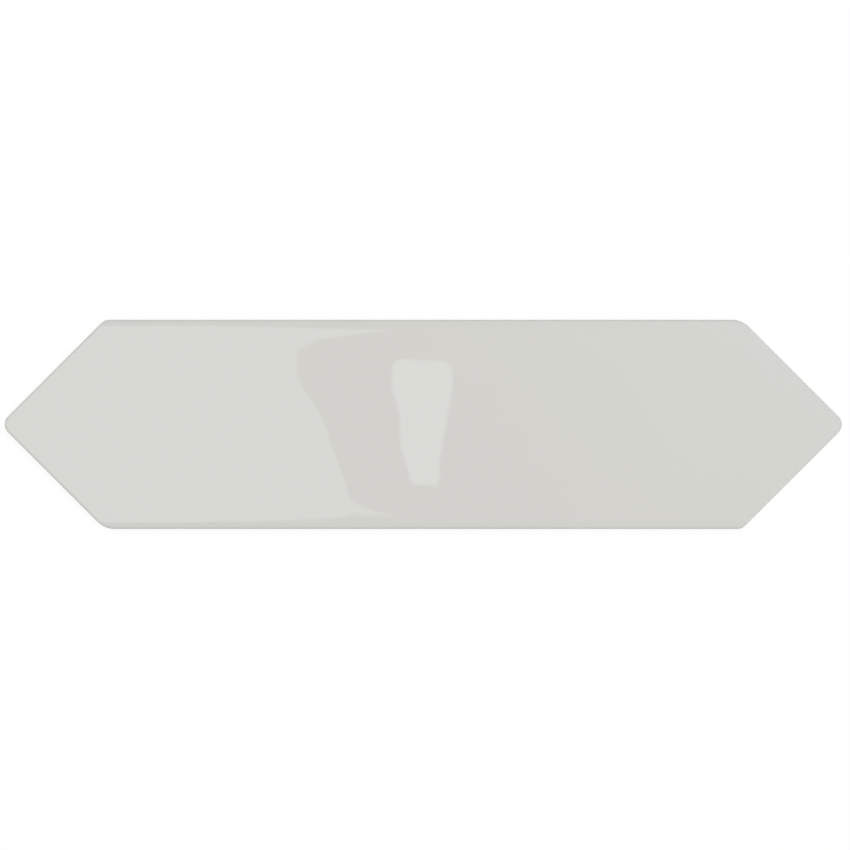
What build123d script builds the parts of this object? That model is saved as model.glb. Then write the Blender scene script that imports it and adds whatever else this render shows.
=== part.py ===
from build123d import *
from math import floor, radians, sin, tan
import os

# Overall size of the tile, in millimetres
tile_length = 300.0
tile_width = 75.0
tile_thickness = 9.0

# Plan outline: a long hexagon with a blunt point at each end.
# Seen from above, one pair of opposite shoulders is crisper than the other.
point_angle = 90.0
tip_radius = 4.0
crisp_corner_radius = 3.0
soft_corner_radius = 7.7

# Side wall: upright above the rim line, leaning in below it
rim_height = 6.0
side_draft = 2.0
back_edge_break = 0.4

# Glazed face: flat, rolling into a shallow slope along the two long edges, with a soft lip all round
ease_width = 2.8
ease_angle = 11.0
ease_roll_radius = 4.0
lip_radius = 0.9

# Keyed back: shallow square pockets between low ribs, inside a plain border
key_pocket = 8.5
key_rib = 2.0
key_depth = 0.6
key_flank_angle = 30.0
key_border = 6.0
key_least_share = 0.35

# Largest slope or height that still counts as level
level_tolerance = 0.01

# Places worked out from the sizes above
half_point = radians(point_angle / 2)
half_width = tile_width / 2
sharp_tip = tile_length / 2 + tip_radius * (1 / sin(half_point) - 1)
shoulder = sharp_tip - half_width / tan(half_point)
ease_start = half_width - ease_width
key_pitch = key_pocket + key_rib
key_rows = 2 * floor((half_width - key_border + key_rib / 2) / key_pitch)
key_columns = 2 * floor(sharp_tip / key_pitch)
key_least_area = key_least_share * key_pocket**2

outline_points = [
    (sharp_tip, 0),
    (shoulder, half_width),
    (-shoulder, half_width),
    (-sharp_tip, 0),
    (-shoulder, -half_width),
    (shoulder, -half_width),
]
outline_radii = [
    tip_radius,
    soft_corner_radius,
    crisp_corner_radius,
    tip_radius,
    soft_corner_radius,
    crisp_corner_radius,
]

# The plan outline, used for the wall, the face and the border of the back
with BuildSketch() as plan:
    with BuildLine():
        FilletPolyline(*outline_points, radius=outline_radii, close=True)
    make_face()

# Lower body, from the back up to the rim line, with its drafted wall
with BuildPart() as lower_body:
    add(plan.sketch)
    extrude(amount=rim_height)
    upright_walls = lower_body.faces().filter_by(Axis.Z, reverse=True)
    draft(upright_walls, neutral_plane=-Plane.XY.offset(rim_height), angle=side_draft)
    back_face = lower_body.faces().sort_by(Axis.Z)[0]
    chamfer(back_face.edges(), length=back_edge_break)

# Pockets of the back, in a grid that is clipped by the border line
with BuildSketch() as key_field:
    add(plan.sketch)
    offset(amount=-key_border, kind=Kind.INTERSECTION, mode=Mode.REPLACE)
    with GridLocations(key_pitch, key_pitch, key_columns, key_rows):
        Rectangle(key_pocket, key_pocket, mode=Mode.INTERSECT)
key_pockets = key_field.faces().filter_by(lambda pocket: pocket.area > key_least_area)

# The whole tile: the face's section run along the length and trimmed to the plan outline,
# then its lip, the lower body and the pockets
with BuildPart() as picket_tile:
    with BuildSketch(Plane.YZ):
        with BuildLine():
            flat = Line((0, tile_thickness), (ease_start, tile_thickness))
            roll = JernArc(flat @ 1, flat % 1, ease_roll_radius, -ease_angle)
            slope_run = half_width - (roll @ 1).X
            slope = PolarLine(roll @ 1, slope_run, -ease_angle, length_mode=LengthMode.HORIZONTAL)
            Polyline(slope @ 1, (half_width, rim_height), (0, rim_height))
            mirror(about=Plane.YZ)
        make_face()
    extrude(amount=sharp_tip, both=True)
    with BuildSketch(Plane.XY.offset(rim_height)):
        add(plan.sketch)
    extrude(amount=tile_thickness - rim_height, mode=Mode.INTERSECT)
    walls = picket_tile.faces().filter_by(lambda face: abs(face.normal_at().Z) < level_tolerance)
    above_rim = rim_height + level_tolerance
    lip_edges = walls.edges().filter_by(lambda edge: edge.bounding_box().min.Z > above_rim)
    fillet(lip_edges, radius=lip_radius)
    add(lower_body.part)
    extrude(key_pockets, amount=key_depth, taper=key_flank_angle, mode=Mode.SUBTRACT)

os.makedirs("parts", exist_ok=True)
picket_tile.part.label = "picket_tile"
export_step(picket_tile.part, "parts/picket_tile.step")
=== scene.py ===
from math import atan, ceil, cos, floor, pi, radians, sin, sqrt, tan

import bmesh
import bpy
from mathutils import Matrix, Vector, noise


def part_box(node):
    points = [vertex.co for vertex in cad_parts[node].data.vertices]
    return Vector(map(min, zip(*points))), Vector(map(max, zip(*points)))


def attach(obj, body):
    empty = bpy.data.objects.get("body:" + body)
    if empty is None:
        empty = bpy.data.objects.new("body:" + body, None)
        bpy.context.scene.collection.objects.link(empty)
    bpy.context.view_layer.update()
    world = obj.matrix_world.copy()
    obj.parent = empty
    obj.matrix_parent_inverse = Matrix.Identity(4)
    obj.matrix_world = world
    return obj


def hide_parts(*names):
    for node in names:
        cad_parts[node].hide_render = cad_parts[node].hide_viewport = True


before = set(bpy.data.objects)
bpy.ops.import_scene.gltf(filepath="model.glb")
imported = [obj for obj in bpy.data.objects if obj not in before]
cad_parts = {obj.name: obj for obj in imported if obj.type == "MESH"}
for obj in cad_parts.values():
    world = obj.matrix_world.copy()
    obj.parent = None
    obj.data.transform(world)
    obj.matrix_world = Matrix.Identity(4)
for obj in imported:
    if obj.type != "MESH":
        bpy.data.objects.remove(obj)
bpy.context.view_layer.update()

# One millimetre in the frame's metres
mm = 0.001

# Size of the pressed tile, read from its solid
tile_low, tile_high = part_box("picket_tile")
half_length = (tile_high.x - tile_low.x) / 2
half_width = (tile_high.y - tile_low.y) / 2
thickness = tile_high.z - tile_low.z

# Plan outline, wall and glazed edge, as in the solid
point_angle = radians(90)
tip_radius = 4.0 * mm
crisp_corner_radius = 3.0 * mm
soft_corner_radius = 7.7 * mm
rim_height = 6.0 * mm
side_draft = radians(2)
back_edge_break = 0.4 * mm
ease_width = 2.8 * mm
ease_angle = radians(11)
ease_roll_radius = 4.0 * mm
lip_radius = 0.9 * mm

# Keyed back, as in the solid
key_pocket = 8.5 * mm
key_rib = 2.0 * mm
key_depth = 0.6 * mm
key_flank_angle = radians(30)
key_border = 6.0 * mm
key_least_share = 0.35
key_rim_softness = 0.15 * mm

# Fineness of the mesh
corner_segments = 10
lip_segments = 8
wall_segments = 14
key_rim_segments = 2
ease_segments = 8
grid_step = 1.5 * mm

# Places closer than this count as one, edges that turn more than this look sharp, and a place whose normal
# points this far sideways is on the wall
cut_snap = 0.02 * mm
sharpest_soft_edge = radians(32)
least_outward = 0.3

# Bevels: a round section, and the material of the faces beside them
round_profile = 0.5
neighbour_material = -1

# Slow waves and finer ripples that the glaze froze with
glaze_wave_height = 0.010 * mm
glaze_wave_length = 30 * mm
glaze_ripple_height = 0.003 * mm
glaze_ripple_length = 8 * mm

# The glaze's lower end on the wall: its height, how far it runs, the step down to the bare body below,
# and the mesh attribute that holds each place's height above that end
glaze_thickness = 0.12 * mm
glaze_line = 5.4 * mm
glaze_run = 1.1 * mm
glaze_run_length = 12 * mm
glaze_step = 0.8 * mm
glaze_height_name = "above_glaze_line"

# Places that follow from the sizes
half_point = point_angle / 2
tip_turn = pi - point_angle
shoulder_turn = half_point
sharp_tip = half_length + tip_radius * (1 / sin(half_point) - 1)
shoulder = sharp_tip - half_width / tan(half_point)
ease_start = half_width - ease_width
ease_roll_width = ease_roll_radius * sin(ease_angle)
lip_start = thickness - lip_radius
key_pitch = key_pocket + key_rib
key_flank = key_depth * tan(key_flank_angle)

# Photograph: the tile's length in its pixels, its frame, and where the frame's middle falls on the tile
photo_width = 850
photo_tile_length = 837.0
photo_centre_right = 1.8
photo_centre_down = 0.6
metres_per_pixel = 2 * half_length / photo_tile_length
lens_mm = 100
sensor_mm = 36
camera_height = photo_width * metres_per_pixel * lens_mm / sensor_mm
axis_x = photo_centre_right * metres_per_pixel
axis_y = -photo_centre_down * metres_per_pixel

# Glaze: its colour and faint clouds, the deeper tone where it pools along its lower end, and its gloss
glaze_colour = (0.648, 0.648, 0.616, 1)
glaze_cloud_colour = (0.658, 0.658, 0.626, 1)
glaze_pool_colour = (0.575, 0.58, 0.545, 1)
glaze_cloud_length = 60 * mm
glaze_pool_width = 0.9 * mm
glaze_feather = 0.3 * mm
glaze_roughness = 0.017
glaze_cloud_roughness = 0.022
glaze_ior = 1.52

# Fired clay body: its grain, broad mottling, dark specks and the pale kiln wash on the ribs
body_colour = (0.70, 0.635, 0.54, 1)
body_grain_colour = (0.80, 0.75, 0.67, 1)
body_mottle_colour = (0.66, 0.575, 0.47, 1)
body_speck_colour = (0.54, 0.45, 0.35, 1)
kiln_wash_colour = (0.84, 0.82, 0.78, 1)
body_grain_length = 0.5 * mm
body_grain_height = 0.05 * mm
body_grain_detail = 4.0
body_mottle_length = 14 * mm
body_mottle_share = 0.5
body_speck_length = 0.8 * mm
body_speck_detail = 0.0
body_speck_level = 0.74
body_speck_feather = 0.03
kiln_wash_length = 6 * mm
kiln_wash_level = 0.45
kiln_wash_feather = 0.2
kiln_wash_depth = 0.12 * mm
kiln_wash_share = 0.5
body_roughness = 0.85

# Detail of noise where no other is given, and the full strength of a bump or a glow
noise_detail = 2.0
full_strength = 1.0

# Sockets of the Mix node for colours, and of the one for shaders
mix_share = 0
mix_first = 6
mix_second = 7
mix_result = 2
shader_share = 0
shader_first = 1
shader_second = 2

# Floor and lamps. The key and the fill together light a level surface to 1.
white = (1, 1, 1, 1)
floor_reach = 6.0
floor_gap = 0.05 * mm
floor_bounce_colour = (0.5, 0.5, 0.5, 1)
shadow_share = 0.12
fill_level = 0.25
key_level = 0.75
key_place = (0.12, 0.1, 2.2)
key_size = 1.4

# Things overhead that only the gloss mirrors: a dim ceiling that grows lighter towards one corner,
# a softbox on the left and a small lamp. Their brightness is that of white paper times these.
# The ceiling is tinted right above the tile, plain grey farther from it and white far out. How far out a
# place lies counts from the middle of the tile's back.
panel_height = 1.0
ceiling_height = 1.02
ceiling_reach = 4.6
ceiling_fade_start = 2.4
ceiling_fade_end = 4.7
ceiling_colour = (0.46, 0.22, 0.29, 1)
ceiling_far_colour = (1.0, 1.2, 1.12, 1)
ceiling_grey = (0.28, 0.28, 0.28, 1)
ceiling_far_grey = (1.15, 1.15, 1.15, 1)
ceiling_tint_reach = 1.09
ceiling_tint_fade = 0.08
ceiling_glow_start = 0.011
ceiling_glow_reach = 0.31
ceiling_glow_most = 0.75
ceiling_glow_sideways = 0.08
softbox_colour = (1.5, 1.5, 1.5, 1)
lamp_colour = (1.95, 1.84, 1.86, 1)

# Broad strips of light on that ceiling, which run away from the tile like spokes: one strip's direction and
# how often they repeat, their spread, and how far they run. There are none right above the tile or straight
# across from its long edges, where the lengthways share of the way to them is too small.
strip_colour = (1.8, 1.8, 1.8, 1)
strip_direction = radians(10)
strip_pitch = radians(24)
strip_spread = radians(13)
strip_feather = radians(2)
strip_end = 4.3
strip_end_feather = 0.2
strip_least_lengthways = 0.36
strip_lengthways_feather = 0.1

# Where the photograph shows the softbox and the lamp on the face, carried on past the face's edges:
# pixels right and down, and the length that each rounded corner takes from its sides
softbox_outline = (
    (-80, -64, 0),
    (-80, 820, 0),
    (130, 820, 0),
    (240, 568, 8),
    (312, 538, 8),
    (333, 520, 6),
    (352, 515.4, 5),
    (392, 514.8, 0.8),
    (392, 512, 0.8),
    (377, 510.8, 4),
    (361, 506, 5),
    (349, 497, 4),
    (344.5, 479, 6),
    (327, 431, 6),
    (321, 413, 5),
    (305, 394, 3),
    (296, 369, 8),
    (296, 352, 5),
    (309, 343, 6),
    (331, 338.6, 6),
    (350, 334.6, 5),
    (368, 332.7, 5),
    (387, 332.6, 0.8),
    (387, 314, 4),
    (352, 308, 5),
    (292, 294, 8),
    (200, -64, 0),
)
lamp_outline = (
    (393, 359.5, 12),
    (392.5, 390, 5),
    (400, 420, 6),
    (399.5, 447, 5),
    (411, 484.5, 5),
    (439, 484.5, 4),
    (437, 461, 5),
    (446, 428, 8),
    (451.5, 396, 8),
    (451.5, 360.5, 10),
)


def rounded_face(bm, corners, height):
    """A level face through these corners. Each corner's rounding takes the given length from its sides."""
    points = [bm.verts.new((x, y, height)) for x, y, cut in corners]
    bm.faces.new(points)
    for point, (x, y, cut) in zip(points, corners):
        if cut > 0:
            bmesh.ops.bevel(
                bm,
                geom=[point],
                offset=cut,
                offset_type="OFFSET",
                affect="VERTICES",
                segments=corner_segments,
                profile=round_profile,
                material=neighbour_material,
            )
    bm.faces.ensure_lookup_table()
    return bm.faces[0]


def draw_in(bm, face, inward, onward):
    """Shrinks a flat end face, moves it on along its normal and gives the ring of wall behind it."""
    drawn = bmesh.ops.inset_region(bm, faces=[face], thickness=inward, depth=onward, use_even_offset=True)
    return drawn["faces"]


def cut_across(bm, faces, position, normal):
    """Cuts the faces along a plane and gives back all their parts, on both sides of it."""
    edges = dict.fromkeys(edge for face in faces for edge in face.edges)
    verts = dict.fromkeys(vert for face in faces for vert in face.verts)
    cut = bmesh.ops.bisect_plane(
        bm,
        geom=[*faces, *edges, *verts],
        dist=cut_snap,
        plane_co=position,
        plane_no=normal,
    )
    return [item for item in cut["geom"] if isinstance(item, bmesh.types.BMFace)]


def steps_between(low, high, step):
    """Places strictly between two ends, evenly spread and about a step apart."""
    count = ceil((high - low) / step)
    return [low + (high - low) * index / count for index in range(1, count)]


def pressed_plan(bm):
    """The six-cornered plan at the rim line, with its corners rounded."""
    tip_cut = tip_radius * tan(tip_turn / 2)
    soft_cut = soft_corner_radius * tan(shoulder_turn / 2)
    crisp_cut = crisp_corner_radius * tan(shoulder_turn / 2)
    corners = (
        (sharp_tip, 0, tip_cut),
        (shoulder, half_width, soft_cut),
        (-shoulder, half_width, crisp_cut),
        (-sharp_tip, 0, tip_cut),
        (-shoulder, -half_width, soft_cut),
        (shoulder, -half_width, crisp_cut),
    )
    return rounded_face(bm, corners, rim_height)


def end_faces(bm):
    """The lowest and the highest of the level faces."""
    ordered = sorted(bm.faces, key=lambda face: face.calc_center_median().z)
    return ordered[0], ordered[-1]


def raise_walls(bm, plan):
    """Wall and lip above the rim line, drafted wall below it. Gives the back and its broken edge."""
    raised = bmesh.ops.extrude_face_region(bm, geom=[plan])
    lifted = [item for item in raised["geom"] if isinstance(item, bmesh.types.BMVert)]
    bmesh.ops.translate(bm, verts=lifted, vec=(0, 0, lip_start - rim_height))
    bmesh.ops.recalc_face_normals(bm, faces=bm.faces[:])
    back, face = end_faces(bm)
    for step in range(lip_segments):
        here = step / lip_segments * pi / 2
        there = (step + 1) / lip_segments * pi / 2
        draw_in(bm, face, lip_radius * (cos(here) - cos(there)), lip_radius * (sin(there) - sin(here)))
    wall_step = (rim_height - back_edge_break) / wall_segments
    for step in range(wall_segments):
        draw_in(bm, back, wall_step * tan(side_draft), wall_step)
    edge_break = draw_in(bm, back, back_edge_break, back_edge_break)
    return back, edge_break


def mark_out_key(bm, back):
    """Cuts the back along the border's six lines and gives the hexagon inside them."""
    slant_out = Vector((sin(half_point), cos(half_point), 0))
    margin = key_border - key_rib / 2
    parts = [back]
    for side_x, side_y in ((1, 1), (-1, 1), (-1, -1), (1, -1)):
        outward = Vector((slant_out.x * side_x, slant_out.y * side_y, 0))
        parts = cut_across(bm, parts, outward * (sharp_tip * slant_out.x - margin), outward)
    for side in (1, -1):
        parts = cut_across(bm, parts, (0, side * (half_width - margin), 0), (0, side, 0))
    return max(parts, key=lambda part: part.calc_area())


def press_key(bm, back):
    """Presses the pockets into the back, between ribs and inside a plain border, with softened rims."""
    rows = floor((half_width - key_border + key_rib / 2) / key_pitch)
    columns = floor(sharp_tip / key_pitch)
    cells = [mark_out_key(bm, back)]
    for lines, across in ((columns, Vector((1, 0, 0))), (rows, Vector((0, 1, 0)))):
        for index in range(-lines, lines + 1):
            cells = cut_across(bm, cells, across * index * key_pitch, across)
    least_cell = key_least_share * key_pocket**2 + key_pitch**2 - key_pocket**2
    reach = rows * key_pitch
    inner_cells = [cell for cell in cells if abs(cell.calc_center_median().y) < reach]
    pockets = [cell for cell in inner_cells if cell.calc_area() > least_cell]
    bmesh.ops.inset_individual(bm, faces=pockets, thickness=key_rib / 2, use_even_offset=True)
    pressed = bmesh.ops.inset_individual(
        bm, faces=pockets, thickness=key_flank, depth=-key_depth, use_even_offset=True
    )
    flanks = set(pressed["faces"])
    rims = [edge for edge in bm.edges if len(flanks.intersection(edge.link_faces)) == 1]
    bmesh.ops.bevel(
        bm,
        geom=rims,
        offset=key_rim_softness,
        offset_type="OFFSET",
        affect="EDGES",
        segments=key_rim_segments,
        profile=round_profile,
        material=neighbour_material,
    )


def cut_grid(bm):
    """Cuts the face, lip and walls into small quads that can carry the glaze's waves."""
    upper = [face for face in bm.faces if face.calc_center_median().z > back_edge_break]
    for x in steps_between(-half_length, half_length, grid_step):
        upper = cut_across(bm, upper, (x, 0, 0), (1, 0, 0))
    for y in steps_between(-ease_start, ease_start, grid_step):
        upper = cut_across(bm, upper, (0, y, 0), (0, 1, 0))
    for step in range(ease_segments):
        y = ease_start + (ease_width - lip_radius) * step / ease_segments
        upper = cut_across(bm, upper, (0, y, 0), (0, 1, 0))
        upper = cut_across(bm, upper, (0, -y, 0), (0, 1, 0))


def smooth_step(value):
    """A share that runs from 0 to 1 with level ends."""
    held = min(1, max(0, value))
    return held * held * (3 - 2 * held)


def ease_drop(y):
    """How far the eased band has sunk at this place across the tile."""
    past = max(0, abs(y) - ease_start)
    rolled = min(past, ease_roll_width)
    return ease_roll_radius - sqrt(ease_roll_radius**2 - rolled**2) + (past - rolled) * tan(ease_angle)


def settle_glaze(bm):
    """Eases the long edges down, freezes waves into the glaze and leaves the body bare below its runs."""
    bm.normal_update()
    above_line = bm.verts.layers.float.new(glaze_height_name)
    outward = {vert: Vector((vert.normal.x, vert.normal.y, 0)) for vert in bm.verts}
    for vert, sideways in outward.items():
        place = vert.co
        level = Vector((place.x, place.y, 0))
        vert[above_line] = place.z - glaze_line - glaze_run * noise.noise(level / glaze_run_length)
        if place.z > rim_height + cut_snap:
            share = min(1, (place.z - rim_height) / (lip_start - rim_height))
            wave = glaze_wave_height * noise.noise(level / glaze_wave_length)
            ripple = glaze_ripple_height * noise.noise(level / glaze_ripple_length)
            place.z += share * (wave + ripple - ease_drop(place.y))
        elif sideways.length > least_outward:
            bare = smooth_step(0.5 - vert[above_line] / glaze_step)
            vert.co = place - sideways.normalized() * glaze_thickness * bare


def pressed_tile():
    """The whole tile as one fired piece."""
    bm = bmesh.new()
    plan = pressed_plan(bm)
    back, edge_break = raise_walls(bm, plan)
    cut_grid(bm)
    press_key(bm, back)
    bmesh.ops.poke(bm, faces=edge_break)
    settle_glaze(bm)
    bmesh.ops.remove_doubles(bm, verts=bm.verts[:], dist=cut_snap)
    bmesh.ops.recalc_face_normals(bm, faces=bm.faces[:])
    mesh = bpy.data.meshes.new("glazed_tile")
    bm.to_mesh(mesh)
    bm.free()
    mesh.shade_smooth()
    mesh.set_sharp_from_angle(angle=sharpest_soft_edge)
    tile = bpy.data.objects.new("glazed_tile", mesh)
    bpy.context.scene.collection.objects.link(tile)
    return tile


class Wire:
    """A shader socket. Arithmetic on it adds Math nodes, and node() adds any other kind."""

    def __init__(self, tree, socket=None):
        self.tree = tree
        self.socket = socket

    def node(self, kind, settings=None, inputs=None, output=0):
        """Adds a node with its settings and inputs, and gives the wire that leaves one output."""
        made = self.tree.nodes.new(kind)
        for name, value in (settings or {}).items():
            setattr(made, name, value)
        for name, value in (inputs or {}).items():
            if isinstance(value, Wire):
                self.tree.links.new(value.socket, made.inputs[name])
            else:
                made.inputs[name].default_value = value
        return Wire(self.tree, made.outputs[output]) if made.outputs else None

    def math(self, operation, *values):
        """Adds a Math node over these values."""
        return self.node("ShaderNodeMath", {"operation": operation}, dict(enumerate(values)))

    def __add__(self, other):
        return self.math("ADD", self, other)

    def __sub__(self, other):
        return self.math("SUBTRACT", self, other)

    def __rsub__(self, other):
        return self.math("SUBTRACT", other, self)

    def __mul__(self, other):
        return self.math("MULTIPLY", self, other)

    def __truediv__(self, other):
        return self.math("DIVIDE", self, other)

    __radd__ = __add__

    def held(self, least=0.0, most=1.0):
        """The value kept between the least and the most."""
        return self.node("ShaderNodeClamp", inputs={"Value": self, "Min": least, "Max": most})

    def part(self, axis):
        """One of a vector's three values."""
        return self.node("ShaderNodeSeparateXYZ", inputs={"Vector": self}, output=axis)

    def colour_mix(self, first, second):
        """The first colour where this wire is 0, the second where it is 1."""
        return self.node(
            "ShaderNodeMix",
            {"data_type": "RGBA"},
            {mix_share: self, mix_first: first, mix_second: second},
            mix_result,
        )

    def noise(self, length, detail=noise_detail):
        """Noise from 0 to 1 over a place in metres, with lumps of about this length."""
        return self.node(
            "ShaderNodeTexNoise",
            inputs={"Vector": self, "Scale": 1 / length, "Detail": detail},
        )


def new_material(name):
    """An empty material and a wire to build its nodes with."""
    material = bpy.data.materials.new(name)
    material.use_nodes = True
    material.node_tree.nodes.clear()
    return material, Wire(material.node_tree)


def seen_directly(start):
    """1 for rays from the camera and for those that gloss or glass sends on, otherwise 0."""
    looking = start.node("ShaderNodeLightPath", output="Is Camera Ray")
    mirrored = start.node("ShaderNodeLightPath", output="Is Glossy Ray")
    passed = start.node("ShaderNodeLightPath", output="Is Transmission Ray")
    return (looking + mirrored + passed).held()


def fired_clay(place, grain):
    """Colour of the bare body: grainy, mottled and specked, with pale kiln wash on the tops of the ribs."""
    plain = grain.colour_mix(body_colour, body_grain_colour)
    mottle = place.noise(body_mottle_length) * body_mottle_share
    mottled = mottle.colour_mix(plain, body_mottle_colour)
    speckle = place.noise(body_speck_length, body_speck_detail)
    speck = ((speckle - body_speck_level) / body_speck_feather).held()
    specked = speck.colour_mix(mottled, body_speck_colour)
    dusted = ((place.noise(kiln_wash_length) - kiln_wash_level) / kiln_wash_feather).held()
    on_ribs = (1 - place.part("Z") / kiln_wash_depth).held()
    return (dusted * on_ribs * kiln_wash_share).colour_mix(specked, kiln_wash_colour)


def fired_ceramic():
    """Glossy pale grey glaze that runs down the wall and stops above the bare cream body."""
    material, start = new_material("fired_ceramic")
    place = start.node("ShaderNodeTexCoord", output="Object")
    above_line = start.node("ShaderNodeAttribute", {"attribute_name": glaze_height_name}, output="Fac")
    glazed = (above_line / glaze_feather + 0.5).held()
    pooled = (1 - above_line / glaze_pool_width).held()
    cloud = place.noise(glaze_cloud_length)
    glaze = pooled.colour_mix(cloud.colour_mix(glaze_colour, glaze_cloud_colour), glaze_pool_colour)
    grain = place.noise(body_grain_length, body_grain_detail)
    colour = glazed.colour_mix(fired_clay(place, grain), glaze)
    gloss = glaze_roughness + cloud * (glaze_cloud_roughness - glaze_roughness)
    roughness = body_roughness + glazed * (gloss - body_roughness)
    relief = start.node(
        "ShaderNodeBump",
        inputs={"Strength": full_strength, "Distance": body_grain_height, "Height": grain * (1 - glazed)},
    )
    shader = start.node(
        "ShaderNodeBsdfPrincipled",
        inputs={"Base Color": colour, "Roughness": roughness, "IOR": glaze_ior, "Normal": relief},
    )
    start.node("ShaderNodeOutputMaterial", inputs={"Surface": shader})
    return material


def white_floor():
    """White floor: plain white to the eye, apart from a share that keeps the tile's shadow."""
    material, start = new_material("white_floor")
    seen = seen_directly(start)
    lit = start.node("ShaderNodeBsdfDiffuse", inputs={"Color": seen.colour_mix(floor_bounce_colour, white)})
    plain = start.node("ShaderNodeEmission", inputs={"Color": white, "Strength": full_strength})
    surface = start.node(
        "ShaderNodeMixShader",
        inputs={shader_share: seen * (1 - shadow_share), shader_first: lit, shader_second: plain},
    )
    start.node("ShaderNodeOutputMaterial", inputs={"Surface": surface})
    return material


def plain_glow(name, colour):
    """Light of one colour all over."""
    material, start = new_material(name)
    glow = start.node("ShaderNodeEmission", inputs={"Color": colour, "Strength": full_strength})
    start.node("ShaderNodeOutputMaterial", inputs={"Surface": glow})
    return material


def strip_share(place, away):
    """How much of the strips' light a place on the ceiling has."""
    direction = place.math("ARCTAN2", place.part("Y"), place.part("X"))
    off_middle = place.math("PINGPONG", direction - strip_direction, strip_pitch / 2)
    within = ((strip_spread / 2 - off_middle) / strip_feather + 0.5).held()
    not_ended = ((strip_end - away) / strip_end_feather).held()
    lengthways = place.math("ABSOLUTE", place.part("X")) / away
    clear_of_edges = ((lengthways - strip_least_lengthways) / strip_lengthways_feather).held()
    return within * not_ended * clear_of_edges


def ceiling_glow():
    """Dim light that grows towards the far right and fades to white far out, with the strips on it."""
    material, start = new_material("ceiling_glow")
    place = start.node("ShaderNodeTexCoord", output="Object")
    sideways = place.part("Y").held(-ceiling_glow_sideways, ceiling_glow_sideways)
    along = (place.part("X") + sideways) / sqrt(2)
    share = ((along - ceiling_glow_start) / ceiling_glow_reach).held(most=ceiling_glow_most)
    away = start.node("ShaderNodeVectorMath", {"operation": "LENGTH"}, {"Vector": place}, "Value")
    faded = ((away - ceiling_fade_start) / (ceiling_fade_end - ceiling_fade_start)).held()
    tinted = share.colour_mix(ceiling_colour, ceiling_far_colour)
    grey = share.colour_mix(ceiling_grey, ceiling_far_grey)
    farther = ((away - ceiling_tint_reach) / ceiling_tint_fade).held()
    plain = faded.colour_mix(farther.colour_mix(tinted, grey), white)
    colour = strip_share(place, away).colour_mix(plain, strip_colour)
    glow = start.node("ShaderNodeEmission", inputs={"Color": colour, "Strength": full_strength})
    start.node("ShaderNodeOutputMaterial", inputs={"Surface": glow})
    return material


def stage_sheet(name, corners, height, material):
    """A level sheet of the studio, with these corners."""
    bm = bmesh.new()
    rounded_face(bm, corners, height)
    mesh = bpy.data.meshes.new(name)
    bm.to_mesh(mesh)
    bm.free()
    mesh.materials.append(material)
    sheet = bpy.data.objects.new(name, mesh)
    bpy.context.scene.collection.objects.link(sheet)
    return sheet


def square(reach):
    """Corners of a square that reaches this far each way."""
    return ((-reach, -reach, 0), (reach, -reach, 0), (reach, reach, 0), (-reach, reach, 0))


def only_mirrored(sheet):
    """Hides a sheet from all but the glaze's gloss."""
    sheet.visible_camera = False
    sheet.visible_diffuse = False
    sheet.visible_transmission = False
    sheet.visible_shadow = False


def overhead_places(outline):
    """Where a panel's corners hang so that the face mirrors them at these pixels of the photograph."""
    spread = metres_per_pixel * (1 + panel_height / camera_height)
    middle = photo_width / 2
    return [
        (axis_x + (right - middle) * spread, axis_y - (down - middle) * spread, cut * spread)
        for right, down, cut in outline
    ]


def studio_lamp(name, place, size, level):
    """A square soft lamp that faces the tile and lights it to this level by itself."""
    lamp = bpy.data.lights.new(name, "AREA")
    lamp.size = size
    reach = Vector(place)
    # The lamp's share of all that a level surface sees overhead, from the view factor of a square
    half_view = size / 2 / sqrt(reach.length_squared + size**2 / 4)
    sky_share = 4 / pi * half_view * atan(half_view) * reach.z / reach.length
    lamp.energy = level * pi * size**2 / sky_share
    lamp_object = bpy.data.objects.new(name, lamp)
    lamp_object.location = place
    lamp_object.rotation_euler = reach.to_track_quat("Z", "Y").to_euler()
    lamp_object.visible_glossy = False
    bpy.context.scene.collection.objects.link(lamp_object)


def white_world():
    """White to the eye and in reflections, and a soft fill for everything else."""
    world = bpy.data.worlds.new("white_studio")
    bpy.context.scene.world = world
    world.use_nodes = True
    world.node_tree.nodes.clear()
    start = Wire(world.node_tree)
    level = fill_level + seen_directly(start) * (1 - fill_level)
    sky = start.node("ShaderNodeBackground", inputs={"Color": white, "Strength": level})
    start.node("ShaderNodeOutputWorld", inputs={"Surface": sky})


def overhead_camera():
    """Camera straight above the tile, framed as in the photograph."""
    camera = bpy.data.cameras.new("overhead_camera")
    camera.lens = lens_mm
    camera.sensor_width = sensor_mm
    holder = bpy.data.objects.new("overhead_camera", camera)
    holder.location = (axis_x, axis_y, lip_start + camera_height)
    bpy.context.scene.collection.objects.link(holder)
    bpy.context.scene.camera = holder


tile = pressed_tile()
tile.data.materials.append(fired_ceramic())
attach(tile, "root")
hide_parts("picket_tile")

stage_sheet("white_floor", square(floor_reach), -floor_gap, white_floor())
white_world()
studio_lamp("key_lamp", key_place, key_size, key_level)
overhead_camera()

softbox_glow = plain_glow("softbox_glow", softbox_colour)
lamp_glow = plain_glow("lamp_glow", lamp_colour)
panel_level = thickness + panel_height
ceiling_level = thickness + ceiling_height
only_mirrored(stage_sheet("dim_ceiling", square(ceiling_reach), ceiling_level, ceiling_glow()))
only_mirrored(stage_sheet("left_softbox", overhead_places(softbox_outline), panel_level, softbox_glow))
only_mirrored(stage_sheet("small_lamp", overhead_places(lamp_outline), panel_level, lamp_glow))

bpy.context.scene.view_settings.view_transform = "Standard"
